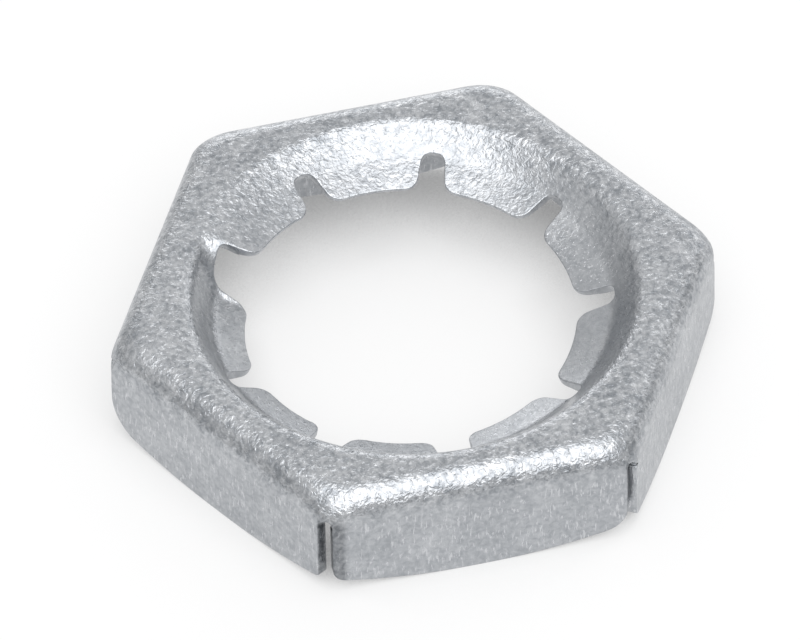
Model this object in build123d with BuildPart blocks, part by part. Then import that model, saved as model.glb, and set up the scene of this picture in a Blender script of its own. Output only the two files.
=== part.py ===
from build123d import *
import os
from math import asin, atan2, cos, degrees, radians, sin, sqrt, tan

# Self-locking counter nut, stamped and folded from one blank of spring steel sheet.
# It stands on the edges of its six walls, with its closed bearing face up. The axis of the
# thread is +Z, and the origin is on that axis, level with the lowest edges of the walls.

# Thread that the nut grips, millimetres
thread_diameter = 20.0
thread_pitch = 2.5

# Hexagonal cap, millimetres
across_flats = 30.0
height = 6.8
sheet = 0.6
bend_radius = 1.6
cap_corner_radius = 2.9

# Folded walls and the slits between them, millimetres
corner_slit = 0.28
wall_foot = 1.0
wall_crown_radius = 33.0
wall_corner_radius = 1.2
wall_shoulder_radius = 0.85
relief_radius = 0.45

# Rolled mouth and spring tongues, millimetres and degrees
mouth_land = 0.3
tongue_count = 9
tongue_bite = 1.0
tongue_depth = 3.7
tongue_slope = 13.5
slope_per_depth = 3.1
tip_corner = 0.85
tip_thickness = 0.25

# Shares of the ring between the mouth's edge and the tips
mouth_roll_share = 0.29
root_roll_share = 0.37
straight_share = 0.41
coined_share = 0.36
notch_share = 0.51
step_notch_share = 0.57

# Notches between the tongues, and the step where the helix begins again
notch_width = 1.25
notch_flare = 4.0
notch_corner = 0.35
wide_notches = (2, 3)
wide_notch_turn = 1.5
wide_notch_width = 1.75
step_angle = 150.0
step_blend = 6.0
step_notch_turn = 0.75
step_notch_width = 1.55
entry_angle = 168.0
entry_offset = 0.7
entry_relief = 0.3

# Angles between the sections that the mouth is lofted through, degrees
section_spacing = 10.0
step_section_spacing = 5.0

# Places worked out from the sizes above
apothem = across_flats / 2
cap_skirt = bend_radius + relief_radius / 2
wall_top = height - bend_radius
wall_end = (apothem - sheet) * tan(radians(30)) - corner_slit / (2 * cos(radians(30)))
wall_crown_angle = degrees(asin((wall_end - wall_foot / 2) / wall_crown_radius))
mouth_radius = apothem - bend_radius - mouth_land
collar_radius = mouth_radius + mouth_land / 2
tip_radius = thread_diameter / 2 - tongue_bite
ring = mouth_radius - tip_radius
mouth_roll = mouth_roll_share * ring
root_roll = root_roll_share * ring
tongue_straight = straight_share * ring
tongue_start_radius = tip_radius + tongue_straight
notch_length = notch_share * ring
notch_spacing = 360 / tongue_count


def at_notch_root(vertex):
    """Whether a vertex of the plan is a corner of a notch's root."""
    return Vector(vertex).length > tip_radius + notch_length


def tip_drop(angle):
    """Depth of the tongue tips below the bearing face, on the helix of the thread.

    The tips climb one pitch in a turn, and fall back by that pitch inside the step notch.
    """
    past_step = (angle - step_angle + 180) % 360 - 180
    if abs(past_step) < step_blend:
        climbed = 0.5 - 0.5 * sin(radians(90 * past_step / step_blend))
    else:
        climbed = (past_step % 360 - step_blend) / (360 - 2 * step_blend)
    return tongue_depth - thread_pitch * climbed


def slope_at(angle):
    """Slope of the tongue at this angle round the axis: a deeper one is bent down more."""
    return tongue_slope + slope_per_depth * tip_drop(angle)


def mouth_bend(angle):
    """Angle and length of the steep part of the mouth that brings the tips to their depth."""
    slope = radians(slope_at(angle))
    # From the centre of the mouth's roll to that of the root's roll, inwards and down
    inwards = mouth_radius - tongue_start_radius + root_roll * sin(slope)
    down = tip_drop(angle) - tongue_straight * tan(slope) - root_roll * cos(slope) - mouth_roll
    rolls = mouth_roll + root_roll
    steep_length = sqrt(inwards**2 + down**2 - rolls**2)
    return degrees(atan2(down, inwards) + atan2(rolls, steep_length)), steep_length


def sheet_face(depth, angle, straight):
    """Line of one face of the sheet, depth below the top, from the collar down the tongue."""
    steep_angle, steep_length = mouth_bend(angle)
    land = Line((mouth_radius + mouth_land, -depth), (mouth_radius, -depth))
    roll = JernArc(land @ 1, land % 1, mouth_roll - depth, steep_angle)
    steep = Line(roll @ 1, roll @ 1 + (roll % 1) * steep_length)
    root = JernArc(steep @ 1, steep % 1, root_roll + depth, slope_at(angle) - steep_angle)
    tongue = Line(root @ 1, root @ 1 + (root % 1) * straight)
    return land @ 0, tongue @ 1


def mouth_section(angle):
    """Section of the mouth and a tongue in the half plane at this angle round the axis."""
    outwards = Vector(cos(radians(angle)), sin(radians(angle)), 0)
    sideways = Vector(sin(radians(angle)), -cos(radians(angle)), 0)
    # The coined wedge runs on past the tip as far again as it is thick, to be trimmed later
    straight = tongue_straight / cos(radians(slope_at(angle)))
    below_end = Vector(0, -tip_thickness).rotate(Axis.Z, slope_at(angle))
    with BuildSketch(Plane((0, 0, height), outwards, sideways)) as section:
        with BuildLine():
            upper_start, upper_end = sheet_face(0, angle, straight + tip_thickness)
            lower_start, coin_start = sheet_face(sheet, angle, straight - coined_share * ring)
            Line(upper_start, lower_start)
            Polyline(upper_end, upper_end + below_end, coin_start)
        make_face()
    return section.sketch


def section_angles(notch):
    """Angles of the sections from one notch to the next, closer together beside the step."""
    start = step_angle + notch * notch_spacing
    end = start + notch_spacing
    after_step = notch == 0
    before_step = notch == tongue_count - 1
    spacing = step_section_spacing if after_step or before_step else section_spacing
    gaps = round(notch_spacing / spacing)
    angles = [start + notch_spacing * gap / gaps for gap in range(gaps + 1)]
    if after_step:
        angles[1:2] = [start + step_blend * third / 3 for third in (1, 2, 3)]
    if before_step:
        angles[-2:-1] = [end - step_blend * third / 3 for third in (3, 2, 1)]
    return angles


def cap_block(inset):
    """Hexagonal block with rounded top edges, this far inside the outer faces of the cap."""
    with BuildPart() as block:
        with BuildSketch(Plane.XY.offset(height - cap_skirt)) as plan:
            RegularPolygon(apothem - inset, 6, major_radius=False)
            fillet(plan.vertices(), cap_corner_radius - inset)
        extrude(amount=cap_skirt - inset)
        fillet(block.edges().group_by(Axis.Z)[-1], bend_radius - inset)
    return block.part


def notch_cut(notch):
    """Angle, width and length of a notch: wider at the step, and between the front tongues."""
    angle = step_angle + notch * notch_spacing
    if notch == 0:
        return angle - step_notch_turn, step_notch_width, step_notch_share * ring
    if notch in wide_notches:
        return angle - wide_notch_turn, wide_notch_width, notch_length
    return angle, notch_width, notch_length


def notch_outline(angle, width, length):
    """Plan of a notch, open to the hole, that flares from its root to the tips beside it."""
    root_radius = tip_radius + length
    mouth_width = width + 2 * length * tan(radians(notch_flare))
    with PolarLocations(0, 1, angle):
        Polygon(
            (0, mouth_width / 2),
            (tip_radius, mouth_width / 2),
            (root_radius, width / 2),
            (root_radius, -width / 2),
            (tip_radius, -mouth_width / 2),
            (0, -mouth_width / 2),
            align=None,
        )


# Rolled mouth and tongues: one lofted length from each notch to the next, trimmed to the collar
with BuildPart() as mouth:
    for notch in range(tongue_count):
        loft(sections=[mouth_section(angle) for angle in section_angles(notch)])
    with BuildSketch():
        Circle(collar_radius)
    extrude(amount=height, mode=Mode.INTERSECT)

cap_outside = cap_block(0)
cap_inside = cap_block(sheet)

# The whole nut
with BuildPart() as lock_nut:
    # Cap: a shallow hexagonal pan, with a round opening for the mouth
    add(cap_outside)
    add(cap_inside, mode=Mode.SUBTRACT)
    with Locations((0, 0, height)):
        Hole(collar_radius)

    # Walls: six flat flaps, whose lower edges are crowned either side of a short flat foot
    for side in range(6):
        outwards = Vector(1, 0, 0).rotate(Axis.Z, 30 + 60 * side)
        along = outwards.rotate(Axis.Z, 90)
        with BuildSketch(Plane(outwards * apothem, along, outwards)) as wall:
            with BuildLine():
                foot = Line((-wall_foot / 2, 0), (wall_foot / 2, 0))
                crown = JernArc(foot @ 1, foot % 1, wall_crown_radius, wall_crown_angle)
                mirror(crown, about=Plane.YZ)
                lower_end = crown @ 1
                Polyline(
                    lower_end,
                    (wall_end, wall_top),
                    (-wall_end, wall_top),
                    (-wall_end, lower_end.Y),
                )
            make_face()
            fillet(wall.vertices().group_by(Axis.Y)[1], wall_corner_radius)
            fillet(wall.vertices().group_by(Axis.Y)[-1], wall_shoulder_radius)
        extrude(amount=-sheet)

    # Relief holes at the tops of the corner slits
    for corner in range(6):
        outwards = Vector(1, 0, 0).rotate(Axis.Z, 60 * corner)
        relief_start = outwards * mouth_radius + Vector(0, 0, height - cap_skirt)
        with BuildSketch(Plane(relief_start, z_dir=outwards)):
            Circle(relief_radius)
        extrude(amount=across_flats - mouth_radius, mode=Mode.SUBTRACT)

    add(mouth.part)

    # Pierced hole: the circle of the tips, with a notch between each two tongues
    with BuildSketch() as hole:
        Circle(tip_radius)
        # The tips next to the step stand back a little, so that the end of a bolt enters there
        with PolarLocations(entry_offset, 1, start_angle=entry_angle):
            Circle(tip_radius + entry_relief - entry_offset)
        for notch in range(tongue_count):
            notch_outline(*notch_cut(notch))
        # Grown and shrunk again by the radius of the tips' corners, which rounds only those
        offset(amount=tip_corner)
        offset(amount=-tip_corner)
        fillet(hole.vertices().filter_by(at_notch_root), notch_corner)
    extrude(amount=height, mode=Mode.SUBTRACT)

lock_nut.part.label = "lock_nut"
os.makedirs("parts", exist_ok=True)
export_step(lock_nut.part, "parts/lock_nut.step")
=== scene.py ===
"""Stamped self-locking counter nut of zinc-coated spring steel, on a pale studio floor.

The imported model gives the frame. Everything here is in metres in that frame: +Z is the axis
of the thread, and the origin is level with the lowest edges of the walls.
"""

import logging
import math
from dataclasses import dataclass, replace
from enum import Enum
from itertools import pairwise

import bmesh
import bpy
from mathutils import Euler, Matrix, Vector

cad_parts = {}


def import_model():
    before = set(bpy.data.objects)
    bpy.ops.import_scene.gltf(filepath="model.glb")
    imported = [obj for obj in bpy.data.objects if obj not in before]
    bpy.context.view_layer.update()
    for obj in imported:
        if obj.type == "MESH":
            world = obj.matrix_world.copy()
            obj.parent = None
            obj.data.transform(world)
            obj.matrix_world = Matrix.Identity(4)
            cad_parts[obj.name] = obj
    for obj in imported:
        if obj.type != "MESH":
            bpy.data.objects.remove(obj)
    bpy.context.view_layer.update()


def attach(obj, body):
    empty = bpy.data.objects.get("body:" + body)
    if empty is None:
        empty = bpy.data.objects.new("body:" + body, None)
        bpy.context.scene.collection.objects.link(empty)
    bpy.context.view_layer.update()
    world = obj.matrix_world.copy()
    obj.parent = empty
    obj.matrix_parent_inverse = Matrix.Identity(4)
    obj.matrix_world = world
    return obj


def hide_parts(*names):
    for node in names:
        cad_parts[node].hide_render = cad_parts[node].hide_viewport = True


LOG = logging.getLogger("lock_nut")
MM = 0.001
SIDES = 6
SIDE_ANGLE = 360 / SIDES
HALF_SIDE = math.radians(SIDE_ANGLE / 2)
PAST_WALL = 2.0  # Marks a column of faces past the end of a wall, over a relief hole
TINY = 1e-13  # Millimetres


def linear(hex_colour: str) -> tuple[float, float, float, float]:
    """Turn an sRGB hex colour into a linear one.

    Args:
        hex_colour: Six hexadecimal digits, red, green and blue.

    Returns:
        Linear red, green and blue, and an alpha of one.
    """
    channels = [int(hex_colour[start : start + 2], 16) / 255 for start in (0, 2, 4)]
    red, green, blue = (
        channel / 12.92 if channel <= 0.04045 else ((channel + 0.055) / 1.055) ** 2.4
        for channel in channels
    )
    return red, green, blue, 1.0


def ramp(value: float, start: float, end: float, low: float = 0.0, high: float = 1.0) -> float:
    """Find a number that goes from low to high while a value goes from a start to an end.

    Args:
        value: The value.
        start: Where the number is still low.
        end: Where it is high.
        low: The number at the start.
        high: The number at the end.

    Returns:
        The number, low before the start and high past the end.
    """
    return low + (high - low) * min(max((value - start) / (end - start), 0), 1)


def add_node(
    tree: bpy.types.NodeTree,
    kind: str,
    inputs: dict[str, object] | list[object] | None = None,
    **settings: object,
) -> bpy.types.Node:
    """Add one node with its settings, values and links.

    Args:
        tree: Node tree that the node joins.
        kind: Blender's name of the node's type, after "ShaderNode".
        inputs: Values by the names of the sockets, or in the sockets' order. A socket is
            linked from, and so is the first output of a node.
        **settings: The node's own properties.

    Returns:
        The new node.
    """
    node = tree.nodes.new("ShaderNode" + kind)
    for name, value in settings.items():
        setattr(node, name, value)
    for key, value in inputs.items() if isinstance(inputs, dict) else enumerate(inputs or []):
        if isinstance(value, bpy.types.Node):
            value = next(output for output in value.outputs if output.enabled)
        if isinstance(value, bpy.types.NodeSocket):
            tree.links.new(value, node.inputs[key])
        else:
            node.inputs[key].default_value = value
    return node


class Finish(float, Enum):
    """Areas of the sheet by how they were finished, with their share of the full grain."""

    TUMBLED = 1.0
    ROLLED = 0.65
    WALL = 0.35
    TONGUE = 0.15


@dataclass(frozen=True)
class Layer:
    """One layer of spots in a finish.

    Attributes:
        size: Of the spots, in millimetres.
        detail: Number of finer layers within it.
    """

    size: float
    detail: float


@dataclass(frozen=True)
class ZincCoatedSteel:
    """Barrel-finished spring steel sheet under a dull zinc coating.

    Fine raised worms of zinc cover the tumbled faces. The folded walls are smoother, with
    sparse streaks painted bright as highlights, and the tongues are the smoothest. In and beside
    the slits the colour is darker: partly uncoated cut steel, partly painted shade of the slits.

    Attributes:
        colour: Of clean zinc.
        dark_colour: Of the darkest zinc.
        bare_and_shade_colour: Of uncoated cut steel, also used as painted shade of the slits.
        roughness: At the two ends of streak_spread.
        worms: The real ones are about 0.1 mm wide, and are drawn coarser, to show.
        worm_height: In millimetres.
        specks: As fine as the grit of the barrel.
        speck_height: In millimetres.
        streaks: The real ones are about 0.05 mm wide, and are drawn coarser, to show.
        streak_stretch: Length of a streak as a multiple of its width.
        streak_height: As a share of a worm's.
        streak_painted_highlight: How far a streak is lifted towards the clean colour: a painted
            highlight.
        streak_limit: How far from a wall's the grain of a streaked face may be.
        streak_core: Values of the streaks' layer at a streak's edge and in its middle.
        streak_spread: Values of the same layer between which the roughness changes.
        clouds: Broad clouds in the coating.
        cloud_share: Share of the clouds in the mottle.
        mottle: Patches of thicker and thinner zinc.
        mottle_range: Values of the mottle at the darkest and at the clean colour.
        calm_contrast: Contrast of the mottle where there is no grain.
        calm_shade: Shade between the two colours there.
        bare_and_shade_range: Values of the mottle's layer where the dark colour at the slits is
            whole and thin.
        thin_bare_and_shade: Share of the dark colour at the slits where it is thin.
        fineness: Strength of the spots' finer layers.
        swirl: How far the spots are drawn out into worms.
    """

    colour: str = "CBCDD0"
    dark_colour: str = "92969B"
    bare_and_shade_colour: str = "606367"
    roughness: tuple[float, float] = (0.39, 0.25)
    worms: Layer = Layer(0.29, 2.0)
    worm_height: float = 0.085
    specks: Layer = Layer(0.10, 1.0)
    speck_height: float = 0.006
    streaks: Layer = Layer(0.14, 2.0)
    streak_stretch: float = 5.0
    streak_height: float = 0.1
    streak_painted_highlight: float = 0.9
    streak_limit: float = 0.15
    streak_core: tuple[float, float] = (0.58, 0.72)
    streak_spread: tuple[float, float] = (0.3, 0.7)
    clouds: Layer = Layer(1.8, 3.0)
    cloud_share: float = 0.5
    mottle: Layer = Layer(0.34, 4.0)
    mottle_range: tuple[float, float] = (0.55, 0.95)
    calm_contrast: float = 0.25
    calm_shade: float = 0.5
    bare_and_shade_range: tuple[float, float] = (0.3, 0.6)
    thin_bare_and_shade: float = 0.6
    fineness: float = 0.55
    swirl: float = 0.6

    def material(self) -> bpy.types.Material:
        """Build the material.

        Returns:
            The finished material.
        """
        made = bpy.data.materials.new("zinc_coated_steel")
        made.use_nodes = True
        tree = made.node_tree
        tree.nodes.clear()
        place = add_node(tree, "TexCoord").outputs["Object"]
        drawn = add_node(
            tree, "Mapping", {"Vector": place, "Scale": (1.0, 1.0, 1 / self.streak_stretch)}
        )
        worms, specks, streaks, clouds, mottle = (
            add_node(
                tree,
                "TexNoise",
                {
                    "Vector": drawn if layer is self.streaks else place,
                    "Scale": 1 / (layer.size * MM),
                    "Detail": layer.detail,
                    "Roughness": self.fineness,
                    "Distortion": self.swirl,
                },
            )
            for layer in (self.worms, self.specks, self.streaks, self.clouds, self.mottle)
        )
        grain, bare_and_shade = (
            add_node(tree, "Attribute", attribute_name=name).outputs["Fac"]
            for name in ("grain", "bare_and_shade")
        )
        # The full mottle where there is grain, and an even shade where there is none
        both = add_node(tree, "Math", [clouds, self.cloud_share, mottle], operation="MULTIPLY_ADD")
        patches = add_node(tree, "MapRange", [both, *self.mottle_range])
        contrast = add_node(tree, "MapRange", {"Value": grain, "To Min": self.calm_contrast})
        shade = add_node(tree, "Mix", {"Factor": contrast, "A": self.calm_shade, "B": patches})
        # Only the walls are streaked, and their streaks are lifted towards the clean colour as a
        # painted highlight
        on_walls = add_node(
            tree, "Math", [grain, Finish.WALL, self.streak_limit], operation="COMPARE"
        )
        ridges = add_node(tree, "MapRange", [streaks, *self.streak_core, 0.0, on_walls])
        mottle_and_painted_highlight = add_node(
            tree, "Math", [ridges, self.streak_painted_highlight, shade], operation="MULTIPLY_ADD"
        )
        shades = {"A": linear(self.dark_colour), "B": linear(self.colour)}
        zinc = add_node(tree, "Mix", {"Factor": mottle_and_painted_highlight, **shades}, data_type="RGBA")
        # Beside the slits the colour goes to the dark steel colour: partly uncoated cut steel,
        # partly painted shade of the slits
        uneven = add_node(tree, "MapRange", [mottle, *self.bare_and_shade_range, 1.0, self.thin_bare_and_shade])
        uncoated_and_shaded = add_node(tree, "Math", [bare_and_shade, uneven], operation="MULTIPLY")
        steel = linear(self.bare_and_shade_colour)
        colour = add_node(tree, "Mix", {"Factor": uncoated_and_shaded, "A": zinc, "B": steel}, data_type="RGBA")
        rough = add_node(tree, "MapRange", [streaks, *self.streak_spread, *self.roughness])
        tumbled = add_node(tree, "Math", [worms, grain], operation="MULTIPLY")
        raised = add_node(
            tree, "Math", [ridges, self.streak_height, tumbled], operation="MULTIPLY_ADD"
        )
        coarse = add_node(tree, "Bump", {"Distance": self.worm_height * MM, "Height": raised})
        fine = add_node(
            tree, "Bump", {"Distance": self.speck_height * MM, "Height": specks, "Normal": coarse}
        )
        metal = add_node(
            tree,
            "BsdfPrincipled",
            {"Base Color": colour, "Metallic": 1.0, "Roughness": rough, "Normal": fine},
        )
        add_node(tree, "OutputMaterial", {"Surface": metal})
        return made


@dataclass(frozen=True)
class SheetMetal:
    """Sizes that the whole stamping shares, in millimetres.

    Attributes:
        height: From the lowest edges of the walls to the bearing face.
        apothem: From the axis to the outside of a wall.
        thickness: Of the sheet.
        bend: Outer radius of the bend between the cap and a wall.
        border: Width of the strip of faces along each cut edge.
        land: Width of the strip of flat face beside the mouth's roll and beside each bend.
    """

    height: float = 6.8
    apothem: float = 15.0
    thickness: float = 0.6
    bend: float = 1.6
    border: float = 0.1
    land: float = 0.07


def extrude_row(
    mesh: bmesh.types.BMesh,
    row: list[bmesh.types.BMVert],
    places: list[Vector],
    closed: bool = True,
) -> list[bmesh.types.BMVert]:
    """Extrude a row of vertices and put its copy in place.

    Args:
        mesh: Mesh that holds the row.
        row: Vertices of the row, in order.
        places: Where the copy of each one goes.
        closed: Whether the row is a loop.

    Returns:
        Vertices of the copy, in the same order.
    """
    edges = [mesh.edges.get(pair) for pair in pairwise([*row, row[0]] if closed else row)]
    grown = bmesh.ops.extrude_edge_only(mesh, edges=edges)["geom"]
    fresh = {item for item in grown if isinstance(item, bmesh.types.BMVert)}
    copies = []
    for vertex, place in zip(row, places):
        ends = (edge.other_vert(vertex) for edge in vertex.link_edges)
        copy = next(end for end in ends if end in fresh)
        copy.co = place
        copies.append(copy)
    return copies


def widen(mesh: bmesh.types.BMesh, loop: list[bmesh.types.BMVert], width: float) -> None:
    """Add a strip of faces of even width outside a border, in line with the faces inside it.

    Args:
        mesh: Mesh that holds the border.
        loop: Vertices of the border, in order.
        width: Width of the strip.
    """
    mesh.normal_update()
    places = []
    for before, vertex, after in zip([loop[-1], *loop[:-1]], loop, [*loop[1:], loop[0]]):
        out = (after.co - before.co).cross(vertex.normal).normalized()
        faces = vertex.link_faces
        inside = sum((face.calc_center_median() for face in faces), Vector()) / len(faces)
        places.append(vertex.co + out * math.copysign(width, out.dot(vertex.co - inside)))
    extrude_row(mesh, loop, places)


def border_from(
    start: bmesh.types.BMVert, skip: set[bmesh.types.BMVert]
) -> list[bmesh.types.BMVert]:
    """Walk along the open border of a mesh.

    Args:
        start: Vertex to start from.
        skip: Vertices of other borders.

    Returns:
        Vertices of the border, in order.
    """
    loop = [start]
    seen = {start, *skip}
    while True:
        ends = (edge.other_vert(loop[-1]) for edge in loop[-1].link_edges if edge.is_boundary)
        following = next((end for end in ends if end not in seen), None)
        if following is None:
            return loop
        loop.append(following)
        seen.add(following)


def side_turn(side: int) -> Matrix:
    """Turn from +X to the middle of the side with this number."""
    return Matrix.Rotation(math.radians(SIDE_ANGLE * (side + 0.5)), 2)


def round_corner(
    before: Vector, corner: Vector, after: Vector, radius: float, count: int
) -> list[Vector]:
    """Round the corner between two straight lines.

    Args:
        before: A point on the line that leads to the corner.
        corner: Where the lines meet.
        after: A point on the line that leads away.
        radius: Radius of the arc.
        count: Number of spaces between the arc's points.

    Returns:
        Points of the arc, in order.
    """
    to_before = (before - corner).normalized()
    to_after = (after - corner).normalized()
    half = to_before.angle(to_after) / 2
    centre = corner + (to_before + to_after).normalized() * radius / math.sin(half)
    first = corner + to_before * radius / math.tan(half) - centre
    last = corner + to_after * radius / math.tan(half) - centre
    return sweep(centre, first, last, count)


def sweep(centre: Vector, first: Vector, last: Vector, count: int) -> list[Vector]:
    """Swing an arm round a centre the short way.

    Args:
        centre: Centre of the arc.
        first: Arm from the centre to the first point.
        last: Arm from the centre to the last point.
        count: Number of spaces between the points.

    Returns:
        Points of the arc, in order.
    """
    turn = math.atan2(first.x * last.y - first.y * last.x, first.x * last.x + first.y * last.y)
    points = []
    for place in range(count + 1):
        arm = Matrix.Rotation(turn * place / count, 2) @ first
        points.append(centre + arm)
    return points


@dataclass(frozen=True)
class MouthLine:
    """Line of the sheet in one half plane: over the rolled mouth and down a tongue.

    Attributes:
        mouth: Radius at which the flat face ends.
        parts: Lengths and curvatures of the roll, the steep part, the bend at the tongue's
            root and the tongue.
    """

    mouth: float
    parts: tuple[tuple[float, float], ...]

    def point(self, along: float) -> tuple[float, float]:
        """Find a point of the line.

        Args:
            along: Distance along the sheet from the end of the flat face.

        Returns:
            Radius, and level below the flat face as a negative number.
        """
        radius, level, angle = self.mouth - min(along, 0), 0.0, 0.0
        for length, curvature in self.parts:
            # Beside the step the root's bend turns back, so an ended line stays ended
            if along <= 0:
                break
            run = min(along, length)
            turned = angle + run * curvature
            if curvature:
                radius -= (math.sin(turned) - math.sin(angle)) / curvature
                level -= (math.cos(angle) - math.cos(turned)) / curvature
            else:
                radius -= run * math.cos(angle)
                level -= run * math.sin(angle)
            angle = turned
            along -= run
        return radius, level

    def along_at(self, radius: float) -> float:
        """Find how far along the sheet a radius is reached, by halving.

        Args:
            radius: Radius to look for.

        Returns:
            Distance along the sheet from the end of the flat face.
        """
        near, far = 0.0, self.mouth
        while far - near > TINY:
            middle = (near + far) / 2
            if self.point(middle)[0] > radius:
                near = middle
            else:
                far = middle
        return near


@dataclass(frozen=True)
class Notch:
    """One notch between two tongues. Sizes are in millimetres.

    Attributes:
        angle: Direction of its middle line in degrees, or how far that is off its even place.
        width: Width at its root.
        length: From the circle of the tips to its root.
    """

    angle: float = 0.0
    width: float = 1.25
    length: float = 2.09


@dataclass(frozen=True)
class RolledMouth:
    """Rolled mouth of the nut, with nine spring tongues whose tips climb the thread's helix.

    Sizes are in millimetres and degrees.

    Attributes:
        sheet: Sizes of the whole stamping.
        mouth: Radius at which the flat face ends.
        tips: Radius of the tongues' tips.
        roll: Radius of the mouth's roll.
        root: Radius of the bend at a tongue's root.
        straight: Length of a tongue inwards from that bend.
        depth: Depth of the lowest tip below the flat face.
        pitch: Climb of the tips in a turn.
        slope: Slope of a tongue at no depth.
        slope_per_depth: What a millimetre of depth adds to it.
        step_angle: Direction of the step, where the helix begins again.
        step_blend: Angle either side of it in which the tips fall back.
        tongues: Number of tongues.
        step_notch: The notch at the step.
        wide_notch: The wider notches in front.
        wide_places: Their places, counted from the step.
        flare: Angle of a notch's sides from its middle line.
        tip_corner: Radius of a tongue's corners.
        root_corner: Radius of the corners at a notch's root.
        entry_angle: Direction in which the tips stand back, for a bolt to enter.
        entry_offset: Shift of the tips' circle that way.
        entry_radius: Radius of the shifted circle.
        coined: Length over which the tips are coined.
        coined_share: Thickness of the tips as a share of the sheet's.
        beside_notch: Angle from a notch to the tip that its corner meets.
        root_start: Share of the half root before its even spacing.
        corner_steps: Spaces along a root's corner.
        side_steps: Spaces along a notch's side, and along a tongue's corner.
        tip_steps: Spaces along a tongue's tip.
        rows: Rows of faces from the hole to the flat face.
    """

    sheet: SheetMetal = SheetMetal()
    mouth: float = 13.1
    tips: float = 9.0
    roll: float = 1.19
    root: float = 1.52
    straight: float = 1.68
    depth: float = 3.7
    pitch: float = 2.5
    slope: float = 13.5
    slope_per_depth: float = 3.1
    step_angle: float = 150.0
    step_blend: float = 6.0
    tongues: int = 9
    step_notch: Notch = Notch(-0.75, 1.55, 2.34)
    wide_notch: Notch = Notch(-1.5, 1.75)
    wide_places: tuple[int, ...] = (2, 3)
    flare: float = 4.0
    tip_corner: float = 0.85
    root_corner: float = 0.5
    entry_angle: float = 168.0
    entry_offset: float = 0.7
    entry_radius: float = 8.6
    coined: float = 1.48
    coined_share: float = 0.42
    beside_notch: float = 6.5
    root_start: float = 0.1
    corner_steps: int = 5
    side_steps: int = 8
    tip_steps: int = 16
    rows: int = 24

    def drop(self, angle: float) -> float:
        """Find how far the tips lie below the flat face.

        Args:
            angle: Direction round the axis, in degrees.

        Returns:
            Depth in millimetres.
        """
        past = (angle - self.step_angle + 180) % 360 - 180
        if abs(past) < self.step_blend:
            climbed = 0.5 - 0.5 * math.sin(math.radians(90 * past / self.step_blend))
        else:
            climbed = (past % 360 - self.step_blend) / (360 - 2 * self.step_blend)
        return self.depth - self.pitch * climbed

    def line(self, angle: float) -> MouthLine:
        """Work out the line of the sheet in one direction.

        Args:
            angle: Direction round the axis, in degrees.

        Returns:
            The line.
        """
        drop = self.drop(angle)
        slope = math.radians(self.slope + self.slope_per_depth * drop)
        inwards = self.mouth - self.tips - self.straight + self.root * math.sin(slope)
        down = drop - self.straight * math.tan(slope) - self.root * math.cos(slope) - self.roll
        rolls = self.roll + self.root
        length = math.sqrt(inwards**2 + down**2 - rolls**2)
        steep = math.atan2(down, inwards) + math.atan2(rolls, length)
        parts = (
            (self.roll * steep, 1 / self.roll),
            (length, 0.0),
            (self.root * (steep - slope), -1 / self.root),
            (math.inf, 0.0),
        )
        return MouthLine(self.mouth, parts)

    def notches(self) -> list[Notch]:
        """List the notches, the step's first.

        Returns:
            The notches in order round the axis.
        """
        kinds = [Notch()] * self.tongues
        kinds[0] = self.step_notch
        for place in self.wide_places:
            kinds[place] = self.wide_notch
        spacing = 360 / self.tongues
        return [
            replace(kind, angle=self.step_angle + place * spacing + kind.angle)
            for place, kind in enumerate(kinds)
        ]

    def tip_radius(self, angle: float) -> float:
        """Find the radius of the tips, which stand back a little where a bolt enters.

        Args:
            angle: Direction round the axis, in degrees.

        Returns:
            Radius in millimetres.
        """
        away = math.radians(angle - self.entry_angle)
        chord = math.sqrt(self.entry_radius**2 - (self.entry_offset * math.sin(away)) ** 2)
        return max(self.tips, self.entry_offset * math.cos(away) + chord)

    def notch_side(self, notch: Notch, tips: float) -> list[Vector]:
        """Draw half of a notch, from the middle of its root to the tip beside it.

        Args:
            notch: The notch.
            tips: Radius of the tips there.

        Returns:
            Points in the notch's own plan, whose first axis is its middle line.
        """
        root = self.tips + notch.length
        half = notch.width / 2
        flare = math.radians(self.flare)
        corner = Vector((root, half))
        middle = Vector((root, 0.0))
        to_tip = Vector((-math.cos(flare), math.sin(flare)))
        points = [middle, middle.lerp(corner, self.root_start)]
        on_side = corner + to_tip
        points += round_corner(middle, corner, on_side, self.root_corner, self.corner_steps)
        inwards = Vector((math.sin(flare), math.cos(flare)))
        base = corner + inwards * self.tip_corner
        reach = base.dot(to_tip)
        run = -reach - math.sqrt(reach**2 - base.length_squared + (tips + self.tip_corner) ** 2)
        centre = base + to_tip * run
        first = -inwards * self.tip_corner
        last = centre * (tips / (tips + self.tip_corner)) - centre
        side_end = centre + first
        side_start = points[-1]
        for step in range(1, self.side_steps):
            points.append(side_start.lerp(side_end, step / self.side_steps))
        return points + sweep(centre, first, last, self.side_steps)

    def outline(self) -> list[Vector]:
        """Draw the pierced hole.

        Returns:
            Points of its plan, in order round the axis.
        """
        points = []
        cut = self.notches()
        for notch, following in zip(cut, [*cut[1:], cut[0]]):
            start = Matrix.Rotation(math.radians(notch.angle), 2)
            end = Matrix.Rotation(math.radians(following.angle), 2)
            tips = self.tip_radius(notch.angle + self.beside_notch)
            leading = [start @ point for point in self.notch_side(notch, tips)]
            tips = self.tip_radius(following.angle - self.beside_notch)
            side = reversed(self.notch_side(following, tips))
            closing = [end @ Vector((point.x, -point.y)) for point in side]
            points += leading
            first = math.atan2(leading[-1].y, leading[-1].x)
            turn = (math.atan2(closing[0].y, closing[0].x) - first) % math.tau
            for step in range(1, self.tip_steps):
                angle = first + turn * step / self.tip_steps
                radius = self.tip_radius(math.degrees(angle))
                points.append(Vector((math.cos(angle), math.sin(angle))) * radius)
            points += closing[:-1]
        return points

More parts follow.
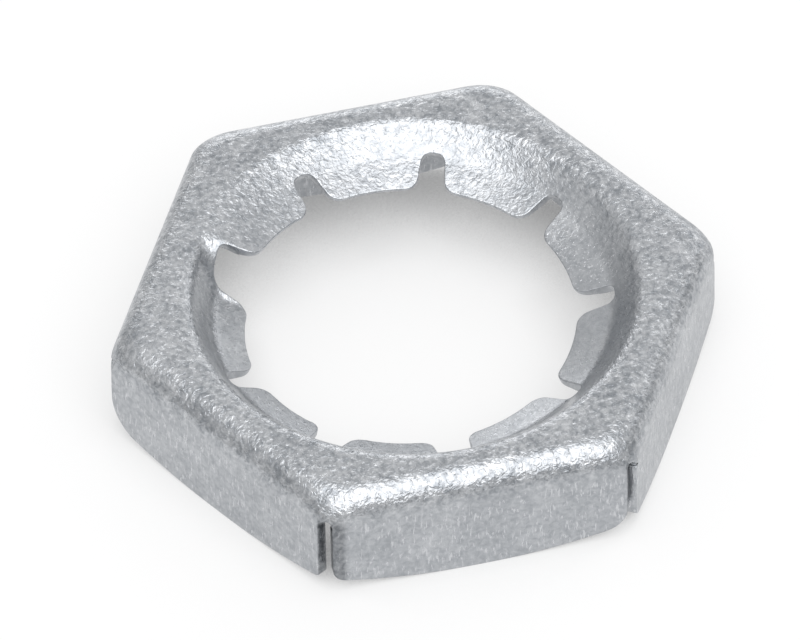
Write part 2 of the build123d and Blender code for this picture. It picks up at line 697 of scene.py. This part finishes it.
    def build(self, mesh: bmesh.types.BMesh) -> list[bmesh.types.BMVert]:
        """Model the mouth, from the pierced hole out to the flat face.

        Args:
            mesh: Mesh that it joins.

        Returns:
            Its outer loop of vertices, in order round the axis.
        """
        exact = self.outline()
        columns = []
        for before, here, after in zip([exact[-1], *exact[:-1]], exact, [*exact[1:], exact[0]]):
            along = (after - before).normalized()
            inset = here + Vector((along.y, -along.x)) * self.sheet.border
            angle = math.atan2(inset.y, inset.x)
            line = self.line(math.degrees(angle))
            columns.append((angle, line, line.along_at(inset.length)))
        row = bmesh.ops.create_circle(mesh, segments=len(columns), radius=self.tips)["verts"]
        hole = row
        for step in range(self.rows + 2):
            places = []
            for angle, line, reach in columns:
                along = reach * (1 - step / self.rows) if step <= self.rows else -self.sheet.land
                radius, level = line.point(along)
                flat = Vector((math.cos(angle), math.sin(angle), 0)) * radius
                places.append(flat + Vector((0, 0, self.sheet.height + level)))
            if step == 0:
                for vertex, place in zip(row, places):
                    vertex.co = place
            else:
                row = extrude_row(mesh, row, places)
        widen(mesh, hole, self.sheet.border)
        LOG.info("rolled mouth: %d columns round %d tongues", len(columns), self.tongues)
        return row


@dataclass(frozen=True)
class WallEnd:
    """One end of a wall, beside its slit. Sizes are in millimetres.

    Attributes:
        reach: From the middle of the wall to its end.
        lower_corner: Radius of its lower corner.
        shoulder: Radius of its upper corner, under the relief.
        bare_and_shade: Darkness of its cut edge, nought to one: uncoated steel and painted shade
            of the slit.
        painted_shade: How far a painted shade reaches over the wall from its end.
    """

    reach: float = 8.15
    lower_corner: float = 1.2
    shoulder: float = 0.85
    bare_and_shade: float = 1.0
    painted_shade: float = 0.0


# The ends that differ in the photograph, by the side's number and the direction along it
# How dark each cut edge is drawn is partly painted shade of its slit, and one end has a painted
# shade beside it
UNEVEN_ENDS: dict[tuple[int, int], WallEnd] = {
    (2, 1): WallEnd(reach=8.1, bare_and_shade=0.3),
    (3, -1): WallEnd(reach=8.42, lower_corner=2.3, shoulder=0.35, bare_and_shade=0.1),
    (3, 1): WallEnd(reach=8.03, lower_corner=0.4, shoulder=0.55),
    (4, -1): WallEnd(reach=8.29, lower_corner=0.9, shoulder=0.5, painted_shade=0.7),
    (4, 1): WallEnd(reach=8.34, lower_corner=1.5, shoulder=0.35),
    (5, -1): WallEnd(reach=8.1, lower_corner=0.5, shoulder=0.7, bare_and_shade=0.1),
}


@dataclass(frozen=True)
class HexagonalCap:
    """Bends, domed corners and folded walls round the flat face. Sizes are in millimetres.

    Attributes:
        sheet: Sizes of the whole stamping.
        face_corner: Radius of the hexagon's corners at the flat face.
        skirt_corner: Radius of its corners at the foot of the skirt.
        skirt: Height of the bend and the skirt below it.
        wall_flat: From the middle of a wall to the part beside its slit.
        foot: Length of a wall's flat foot.
        crown: Radius of its lower edge either side of the foot.
        turn_flat: Height in which a wall leaves the domed corner.
        relief_top: Height of the relief holes' tops above the floor.
        face_columns: Columns of faces along half of a wall's flat part.
        edge_columns: Columns over the part beside the slit.
        relief_columns: Columns over half of a relief hole.
        bend_rows: Rows of faces over the bend and the skirt.
        wall_rows: Rows down a wall.
        row_crowding: How far those rows crowd together at the top.
    """

    sheet: SheetMetal = SheetMetal()
    face_corner: float = 4.2
    skirt_corner: float = 0.8
    skirt: float = 2.0
    wall_flat: float = 6.6
    foot: float = 1.0
    crown: float = 33.0
    turn_flat: float = 0.85
    relief_top: float = 5.42
    face_columns: int = 9
    edge_columns: int = 10
    relief_columns: int = 4
    bend_rows: int = 14
    wall_rows: int = 12
    row_crowding: float = 1.5

    def end_of(self, side: int, distance: float) -> WallEnd:
        """Look up the end of a wall.

        Args:
            side: Number of the side.
            distance: Any distance from its middle towards that end, with its sign.

        Returns:
            The end.
        """
        return UNEVEN_ENDS.get((side, 1 if distance > 0 else -1), WallEnd())

    def outline_point(self, side: int, along: float, apothem: float, corner: float) -> Vector:
        """Find a point of a rounded hexagon.

        Args:
            side: Number of the side.
            along: Share of the half side, along the outline from its middle.
            apothem: From the axis to the side.
            corner: Radius of the corners.

        Returns:
            The point in plan.
        """
        straight = (apothem - corner) * math.tan(HALF_SIDE)
        distance = abs(along) * (straight + corner * HALF_SIDE)
        if distance <= straight:
            place = Vector((apothem, distance))
        else:
            turn = (distance - straight) / corner
            arm = Vector((math.cos(turn), math.sin(turn))) * corner
            place = Vector((apothem - corner, straight)) + arm
        if along < 0:
            place.y = -place.y
        return side_turn(side) @ place

    def bend_point(self, side: int, along: float, run: float) -> Vector:
        """Find a point on the bend and the skirt below it.

        Args:
            side: Number of the side.
            along: Share of the half side, from its middle.
            run: Distance along the sheet from the edge of the flat face.

        Returns:
            The point.
        """
        bend = self.sheet.bend
        turn = min(run / bend, math.pi / 2)
        level = self.sheet.height - bend + bend * math.cos(turn)
        level -= max(run - bend * math.pi / 2, 0)
        share = (level - self.sheet.height + self.skirt) / self.skirt
        corner = self.skirt_corner + (self.face_corner - self.skirt_corner) * share
        inset = bend * (1 - math.sin(turn))
        plan = self.outline_point(side, along, self.sheet.apothem - inset, corner - inset)
        return Vector((plan.x, plan.y, level))

    def flap_end(self, end: WallEnd, level: float) -> float:
        """Find where a wall ends beside its slit, less the border.

        Args:
            end: The end of the wall.
            level: Height above the floor.

        Returns:
            Distance from the middle of the wall.
        """
        radius = end.shoulder - self.sheet.border
        above = level - (self.sheet.height - self.sheet.bend - end.shoulder)
        if above <= 0:
            return end.reach - self.sheet.border
        return end.reach - end.shoulder + math.sqrt(max(radius**2 - above**2, 0))

    def flap_edge(self, end: WallEnd, distance: float) -> float:
        """Find the height of a wall's lower edge, plus the border.

        Args:
            end: The end of the wall.
            distance: From the middle of the wall.

        Returns:
            Height above the floor.
        """
        centre = end.reach - end.lower_corner
        arm = self.crown - end.lower_corner
        base = centre - self.foot / 2
        level = self.crown - math.sqrt(arm**2 - base**2)
        touch = self.foot / 2 + base * (self.crown - self.sheet.border) / arm
        if distance > touch:
            small = end.lower_corner - self.sheet.border
            return level - math.sqrt(max(small**2 - (distance - centre) ** 2, 0))
        past = max(distance - self.foot / 2, 0)
        return self.crown - math.sqrt((self.crown - self.sheet.border) ** 2 - past**2)

    def flap_point(self, side: int, along: float, level: float) -> Vector:
        """Find a point on a wall, which leaves the domed corner and turns flat.

        Args:
            side: Number of the side.
            along: Distance along the sheet from the middle of the wall.
            level: Height above the floor.

        Returns:
            The point.
        """
        curved = self.outline_point(
            side, along / self.half_length(), self.sheet.apothem, self.skirt_corner
        )
        flat = side_turn(side) @ Vector((self.sheet.apothem, along))
        share = ramp(level, self.flap_top(), self.flap_top() - self.turn_flat)
        plan = curved.lerp(flat, share * share * (3 - 2 * share))
        return Vector((plan.x, plan.y, level))

    def flap_top(self) -> float:
        """Find the height at which the walls start, above the floor."""
        return self.sheet.height - self.skirt

    def half_length(self) -> float:
        """Find half of a side's length along the skirt, to the middle of the corner."""
        straight = (self.sheet.apothem - self.skirt_corner) * math.tan(HALF_SIDE)
        return straight + self.skirt_corner * HALF_SIDE

    def columns(self, side: int) -> list[tuple[float, float]]:
        """Space the columns of faces along a side.

        Args:
            side: Number of the side.

        Returns:
            Distance of each column from the middle of the side, and its share of the way over
            the part of the wall beside the slit, or PAST_WALL.
        """
        halves = []
        for sign in (-1, 1):
            end = self.flap_end(self.end_of(side, sign), self.flap_top())
            half = []
            for place in range(1, self.face_columns + 1):
                half.append((sign * self.wall_flat * place / self.face_columns, 0.0))
            for place in range(1, self.edge_columns + 1):
                share = math.sin(math.pi / 2 * place / self.edge_columns)
                half.append((sign * (self.wall_flat + (end - self.wall_flat) * share), share))
            for place in range(1, self.relief_columns + 1):
                share = 1 - math.cos(math.pi / 2 * place / self.relief_columns)
                distance = end + (self.half_length() - end) * share
                half.append((sign * distance, PAST_WALL))
            halves.append(half)
        # The corner itself is the last column of the side before
        return [*reversed(halves[0][:-1]), (0.0, 0.0), *halves[1]]

    def run_length(self, side: int, distance: float) -> float:
        """Measure a column from the flat face to the wall, or to the relief hole's edge.

        Args:
            side: Number of the side.
            distance: Of the column from the middle of the side.

        Returns:
            Length along the sheet.
        """
        level = self.flap_top()
        end = self.flap_end(self.end_of(side, distance), level)
        if abs(distance) > end:
            off_middle = (self.half_length() - abs(distance)) / (self.half_length() - end)
            rise = self.relief_top + self.sheet.border - level
            level += rise * math.sqrt(max(1 - off_middle**2, 0))
        straight = self.sheet.height - self.sheet.bend
        if level > straight:
            return self.sheet.bend * math.acos((level - straight) / self.sheet.bend)
        return self.sheet.bend * math.pi / 2 + straight - level

    def build(self, mesh: bmesh.types.BMesh) -> list[bmesh.types.BMVert]:
        """Model the cap outside the flat face, and its walls.

        Args:
            mesh: Mesh that it joins.

        Returns:
            Its inner loop of vertices, in order round the axis.
        """
        half_length = self.half_length()
        columns = [(side, *column) for side in range(SIDES) for column in self.columns(side)]
        inset = self.sheet.bend + self.sheet.land
        flat = self.sheet.apothem - inset
        corner = self.face_corner - inset
        row = bmesh.ops.create_circle(mesh, segments=len(columns), radius=flat)["verts"]
        inner = row
        for vertex, (side, distance, _share) in zip(row, columns):
            plan = self.outline_point(side, distance / half_length, flat, corner)
            vertex.co = (plan.x, plan.y, self.sheet.height)
        for step in range(self.bend_rows + 1):
            places = []
            for side, distance, _share in columns:
                run = self.run_length(side, distance) * step / self.bend_rows
                places.append(self.bend_point(side, distance / half_length, run))
            row = extrude_row(mesh, row, places)
        for side in range(SIDES):
            wall = [
                (vertex, distance, share)
                for vertex, (at, distance, share) in zip(row, columns)
                if at == side and share < PAST_WALL
            ]
            self.build_wall(mesh, side, wall)
        mesh.normal_update()
        starts = (vertex for vertex in row if len(vertex.link_faces) == 2 and vertex.is_boundary)
        widen(mesh, border_from(next(starts), set(inner)), self.sheet.border)
        LOG.info("hexagonal cap: %d columns, %d walls", len(columns), SIDES)
        return inner

    def build_wall(
        self,
        mesh: bmesh.types.BMesh,
        side: int,
        top: list[tuple[bmesh.types.BMVert, float, float]],
    ) -> None:
        """Model one wall down from the skirt.

        Args:
            mesh: Mesh that it joins.
            side: Number of the side.
            top: Vertices of its top row, each with its distance from the middle of the wall and
                its share of the way over the part beside the slit.
        """
        row = [vertex for vertex, _distance, _share in top]
        for step in range(1, self.wall_rows + 1):
            places = []
            for _vertex, distance, share in top:
                end = self.end_of(side, distance)
                away = abs(distance)
                if share > 0:
                    away = self.wall_flat + (self.flap_end(end, 0.0) - self.wall_flat) * share
                low = self.flap_edge(end, away)
                fall = (step / self.wall_rows) ** self.row_crowding
                level = self.flap_top() + (low - self.flap_top()) * fall
                if share > 0:
                    away = self.wall_flat + (self.flap_end(end, level) - self.wall_flat) * share
                places.append(self.flap_point(side, math.copysign(away, distance), level))
            row = extrude_row(mesh, row, places, closed=False)


@dataclass(frozen=True)
class LockNut:
    """The whole nut: mouth, cap and the flat face between them. Sizes are in millimetres.

    Attributes:
        sheet: Sizes of the whole stamping.
        mouth: The rolled mouth and its tongues.
        cap: The bends, corners and walls.
        edge_round: Width of the rounding along the tumbled edges.
        edge_steps: Faces across it.
        edge_angle: Least angle of an edge that is rounded, in degrees.
        mouth_fade: Depth in which the flat face's grain fades in the mouth.
        far_side: Place along +Y, as a share of the radius, where the mouth is only rolled.
        near_side: Place where its grain is down to a tongue's.
        tumbled_bend: Share of the bend that has the flat face's grain.
        wall_fade: Height in which it fades to a wall's.
        painted_shade_share: How dark the painted shade beside a slit is.
        darkening_fade: Width over which the darkening fades, upwards and beside the slit.
        darkening_top: Height above which nothing is darkened.
    """

    sheet: SheetMetal = SheetMetal()
    mouth: RolledMouth = RolledMouth()
    cap: HexagonalCap = HexagonalCap()
    edge_round: float = 0.05
    edge_steps: int = 2
    edge_angle: float = 50.0
    mouth_fade: float = 0.9
    far_side: float = 2 / 3
    near_side: float = -1 / 6
    tumbled_bend: float = 0.7
    wall_fade: float = 0.8
    painted_shade_share: float = 0.8
    darkening_fade: float = 0.3
    darkening_top: float = 5.6

    def grain_at(self, place: Vector) -> float:
        """Find how strong the grain is at a point of the sheet.

        Args:
            place: The point, in millimetres.

        Returns:
            Share of the full grain.
        """
        below = self.sheet.height - place.z
        radius = place.to_2d().length
        if radius < self.mouth.mouth:
            towards = place.y / radius
            rolled = ramp(towards, self.far_side, self.near_side, Finish.ROLLED, Finish.TONGUE)
            return ramp(below, 0, self.mouth_fade, Finish.TUMBLED, rolled)
        start = self.sheet.bend * self.tumbled_bend
        return ramp(below, start, start + self.wall_fade, Finish.TUMBLED, Finish.WALL)

    def bare_and_shade_at(self, place: Vector) -> float:
        """Find how bare and dark the steel is at a point of the sheet, beside the slits.

        Args:
            place: The point, in millimetres.

        Returns:
            Nought where nothing is darkened, and one at the darkest.
        """
        plan = place.to_2d()
        if plan.length < self.mouth.mouth:
            return 0.0
        side = math.floor(math.degrees(math.atan2(plan.y, plan.x)) / SIDE_ANGLE) % SIDES
        along = (side_turn(side).transposed() @ plan).y
        end = self.cap.end_of(side, along)
        low = ramp(place.z, self.darkening_top, self.darkening_top - self.darkening_fade)
        # At its cut edge the end is darkened: uncoated steel and painted shade of the slit
        if abs(along) > end.reach - self.sheet.border / 2:
            return end.bare_and_shade * low
        if not end.painted_shade:
            return 0.0
        # Over the wall beside this slit a painted shade fades in
        edge = end.reach - end.painted_shade
        near = ramp(abs(along), edge - self.darkening_fade / 2, edge + self.darkening_fade / 2)
        return self.painted_shade_share * near * low

    def model(self) -> bmesh.types.BMesh:
        """Model the outer face of the sheet.

        Returns:
            The mesh, in millimetres.
        """
        mesh = bmesh.new()
        loops = (self.mouth.build(mesh), self.cap.build(mesh))
        edges = [mesh.edges.get(pair) for loop in loops for pair in pairwise([*loop, loop[0]])]
        bmesh.ops.triangle_fill(mesh, use_beauty=True, edges=edges, normal=(0, 0, 1))
        bmesh.ops.recalc_face_normals(mesh, faces=mesh.faces)
        if max(mesh.faces, key=lambda face: face.calc_center_median().z).normal.z < 0:
            bmesh.ops.reverse_faces(mesh, faces=mesh.faces)
        return mesh

    def mark(self, mesh: bmesh.types.BMesh) -> None:
        """Mark each vertex with its grain, its darkening at the slits and the sheet's thickness.

        Args:
            mesh: The mesh, in millimetres.
        """
        grain = mesh.verts.layers.float.new("grain")
        bare_and_shade = mesh.verts.layers.float.new("bare_and_shade")
        weights = mesh.verts.layers.deform.verify()
        full = self.mouth.tips + self.mouth.coined
        for vertex in mesh.verts:
            vertex[grain] = self.grain_at(vertex.co)
            # Darker at the slits: uncoated cut steel and painted shade
            vertex[bare_and_shade] = self.bare_and_shade_at(vertex.co)
            vertex[weights][0] = ramp(vertex.co.to_2d().length, self.mouth.tips, full)

    def thicken(self, nut: bpy.types.Object) -> None:
        """Give the sheet its thickness, thinner at the coined tips, and round its edges.

        Args:
            nut: Object that holds the outer face of the sheet.
        """
        nut.vertex_groups.new(name="full_thickness")
        wall = nut.modifiers.new("sheet_thickness", "SOLIDIFY")
        wall.thickness = self.sheet.thickness * MM
        wall.offset = -1.0
        wall.use_even_offset = True
        wall.vertex_group = "full_thickness"
        wall.thickness_vertex_group = self.mouth.coined_share
        edge = nut.modifiers.new("tumbled_edges", "BEVEL")
        edge.width = self.edge_round * MM
        edge.segments = self.edge_steps
        edge.limit_method = "ANGLE"
        edge.angle_limit = math.radians(self.edge_angle)
        edge.use_clamp_overlap = False

    def build(self) -> None:
        """Model the nut and dress it."""
        mesh = self.model()
        self.mark(mesh)
        bmesh.ops.scale(mesh, vec=(MM, MM, MM), verts=mesh.verts)
        data = bpy.data.meshes.new("stamped_sheet")
        mesh.to_mesh(data)
        mesh.free()
        data.shade_smooth()
        nut = bpy.data.objects.new("stamped_lock_nut", data)
        bpy.context.scene.collection.objects.link(nut)
        self.thicken(nut)
        data.materials.append(ZincCoatedSteel().material())
        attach(nut, "root")
        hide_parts("lock_nut")
        LOG.info("lock nut: %d faces before its thickness", len(data.polygons))


@dataclass(frozen=True)
class SoftBox:
    """A lamp behind cloth, aimed at the nut.

    Attributes:
        name: Name of the lamp.
        azimuth: Degrees round from +X.
        elevation: Degrees above the floor.
        distance: Metres from the nut.
        width: Metres from side to side.
        height: Metres from bottom to top.
        power: Watts.
    """

    name: str
    azimuth: float
    elevation: float
    distance: float
    width: float
    height: float
    power: float

    def place(self) -> None:
        """Hang the lamp and aim it at the nut."""
        data = bpy.data.lights.new(self.name, "AREA")
        data.energy = self.power
        data.shape = "RECTANGLE"
        data.size = self.width
        data.size_y = self.height
        lamp = bpy.data.objects.new(self.name, data)
        turn = Euler((0.0, -math.radians(self.elevation), math.radians(self.azimuth)))
        away = turn.to_matrix() @ Vector((1.0, 0.0, 0.0))
        lamp.location = away * self.distance
        lamp.rotation_euler = away.to_track_quat("Z", "Y").to_euler()
        bpy.context.scene.collection.objects.link(lamp)


@dataclass(frozen=True)
class Studio:
    """Pale floor, soft boxes, even surroundings and the camera. Sizes are in metres.

    Attributes:
        floor_side: Side of the floor.
        floor_colour: Its colour.
        floor_lift: Glow that lifts the open floor to white.
        shade_reach: Distance within which the nut keeps the glow off it.
        shade_rays: Rays that look for it.
        shade_range: Share of open rays where there is no glow, and where it is whole.
        zenith: Strength of the surroundings overhead.
        horizon: Their strength level with the floor.
        sky_rise: Sine of the elevation where they reach the zenith's strength.
        lens: Focal length in millimetres.
        sensor: Width in millimetres.
        clip: Nearest and farthest that the camera sees.
        camera_at: Its place.
        camera_turn: Its turns round X, Y and Z, in degrees.
        soft_boxes: The lamps.
    """

    floor_side: float = 3.0
    floor_colour: str = "9C9C9C"
    floor_lift: float = 0.58
    shade_reach: float = 0.012
    shade_rays: int = 4
    shade_range: tuple[float, float] = (0.1, 0.28)
    zenith: float = 1.0
    horizon: float = 0.42
    sky_rise: float = 0.5
    lens: float = 753.45
    sensor: float = 36.0
    clip: tuple[float, float] = (0.05, 10.0)
    camera_at: tuple[float, float, float] = (-0.143686, -0.616885, 0.676176)
    camera_turn: tuple[float, float, float] = (43.2959, 0.9050, -14.0050)
    soft_boxes: tuple[SoftBox, ...] = (
        SoftBox("top_box", -88, 67, 0.9, 1.0, 1.15, 6.7),
        SoftBox("low_back_box", 80, 9, 0.9, 0.7, 0.28, 1.25),
        SoftBox("right_back_box", 36, 13, 0.9, 0.5, 0.3, 0.6),
    )

    def floor(self) -> None:
        """Lay the floor, white to the camera where no shadow falls."""
        bpy.ops.mesh.primitive_plane_add(size=self.floor_side)
        laid = bpy.context.object
        laid.name = "studio_floor"
        paint = bpy.data.materials.new("white_board")
        paint.use_nodes = True
        tree = paint.node_tree
        tree.nodes.clear()
        path = add_node(tree, "LightPath").outputs
        rays = [path["Is Glossy Ray"], path["Is Transmission Ray"]]
        mirrored = add_node(tree, "Math", rays, operation="MAXIMUM")
        # The camera sees no glow where the nut shades the floor, as under the cap
        open_sky = add_node(
            tree, "AmbientOcclusion", {"Distance": self.shade_reach}, samples=self.shade_rays
        ).outputs["AO"]
        seen = add_node(
            tree, "MapRange", [open_sky, *self.shade_range, 0.0, path["Is Camera Ray"]]
        )
        lift = add_node(tree, "Math", [seen, mirrored], operation="MAXIMUM")
        strength = add_node(tree, "Math", [lift, self.floor_lift], operation="MULTIPLY")
        glow = add_node(tree, "Emission", {"Strength": strength})
        matt = add_node(tree, "BsdfDiffuse", {"Color": linear(self.floor_colour)})
        both = add_node(tree, "AddShader", [glow, matt])
        add_node(tree, "OutputMaterial", {"Surface": both})
        laid.data.materials.append(paint)

    def world(self) -> None:
        """Surround the nut with white cloth that is dimmer low down."""
        world = bpy.data.worlds.new("studio_surroundings")
        bpy.context.scene.world = world
        world.use_nodes = True
        tree = world.node_tree
        tree.nodes.clear()
        direction = add_node(tree, "TexCoord").outputs["Object"]
        level = add_node(tree, "SeparateXYZ", {"Vector": direction}).outputs["Z"]
        strength = add_node(
            tree, "MapRange", [level, 0.0, self.sky_rise, self.horizon, self.zenith]
        )
        sky = add_node(tree, "Background", {"Strength": strength})
        add_node(tree, "OutputWorld", {"Surface": sky})

    def camera(self) -> None:
        """Set the camera up where the photograph was taken from."""
        data = bpy.data.cameras.new("camera")
        data.lens = self.lens
        data.sensor_width = self.sensor
        data.clip_start, data.clip_end = self.clip
        camera = bpy.data.objects.new("camera", data)
        camera.location = self.camera_at
        camera.rotation_euler = [math.radians(turn) for turn in self.camera_turn]
        bpy.context.scene.collection.objects.link(camera)
        bpy.context.scene.camera = camera

    def build(self) -> None:
        """Set up the whole studio."""
        self.camera()
        self.floor()
        self.world()
        for box in self.soft_boxes:
            box.place()
        bpy.context.scene.view_settings.view_transform = "Standard"
        LOG.info("studio: camera, floor, surroundings and %d lamps", len(self.soft_boxes))


def main() -> None:
    """Build the nut and the studio."""
    logging.basicConfig(level=logging.INFO, format="%(message)s")
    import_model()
    LockNut().build()
    Studio().build()


if __name__ == "__main__":
    main()
